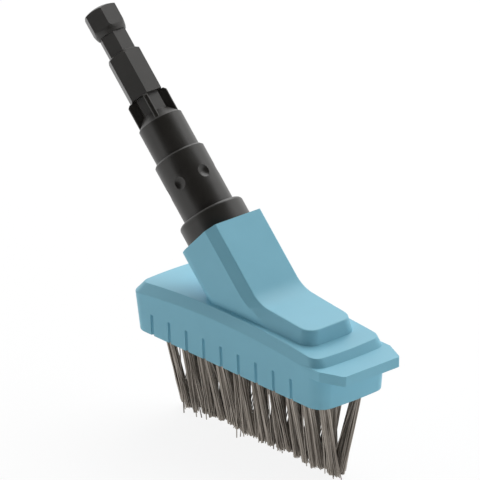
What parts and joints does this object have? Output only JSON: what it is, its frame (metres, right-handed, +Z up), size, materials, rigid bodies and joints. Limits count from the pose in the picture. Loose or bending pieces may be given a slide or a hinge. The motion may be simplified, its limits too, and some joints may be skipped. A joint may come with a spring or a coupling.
{
  "type": "grout brush",
  "caption": "Narrow scrubbing brush head with wire tufts set in a V under a moulded block, and a slanted plug-in spigot for a long handle.",
  "frame": {"origin": "on the spigot's axis, at the collar's shoulder where a handle's socket stops", "axes": "+X along the block towards its lip, +Y across the block to the far side, +Z up from the tufts; the spigot leans back between -X and +Z"},
  "size_m": [0.184, 0.0426, 0.1758],
  "materials": {
    "head_plastic": "fine satin moulding, turquoise",
    "spigot_plastic": "fine satin moulding, dark grey",
    "bristle_wire": "drawn wire, dull",
    "anchor_strip": "plain strip"
  },
  "bodies": {
    "root": {"brush_head": "head_plastic", "handle_spigot": "spigot_plastic", "tuft_near_01": "bristle_wire", "tuft_near_02": "bristle_wire", "tuft_near_03": "bristle_wire", "tuft_near_04": "bristle_wire", "tuft_near_05": "bristle_wire", "tuft_near_06": "bristle_wire", "tuft_near_07": "bristle_wire", "tuft_near_08": "bristle_wire", "tuft_near_09": "bristle_wire", "tuft_near_10": "bristle_wire", "tuft_middle_01": "bristle_wire", "tuft_middle_02": "bristle_wire", "tuft_middle_03": "bristle_wire", "tuft_middle_04": "bristle_wire", "tuft_middle_05": "bristle_wire", "tuft_middle_06": "bristle_wire", "tuft_middle_07": "bristle_wire", "tuft_middle_08": "bristle_wire", "tuft_middle_09": "bristle_wire", "tuft_far_01": "bristle_wire", "tuft_far_02": "bristle_wire", "tuft_far_03": "bristle_wire", "tuft_far_04": "bristle_wire", "tuft_far_05": "bristle_wire", "tuft_far_06": "bristle_wire", "tuft_far_07": "bristle_wire", "tuft_far_08": "bristle_wire", "tuft_far_09": "bristle_wire", "tuft_far_10": "bristle_wire", "anchors_near": "anchor_strip", "anchors_middle": "anchor_strip", "anchors_far": "anchor_strip"}
  },
  "joints": []
}
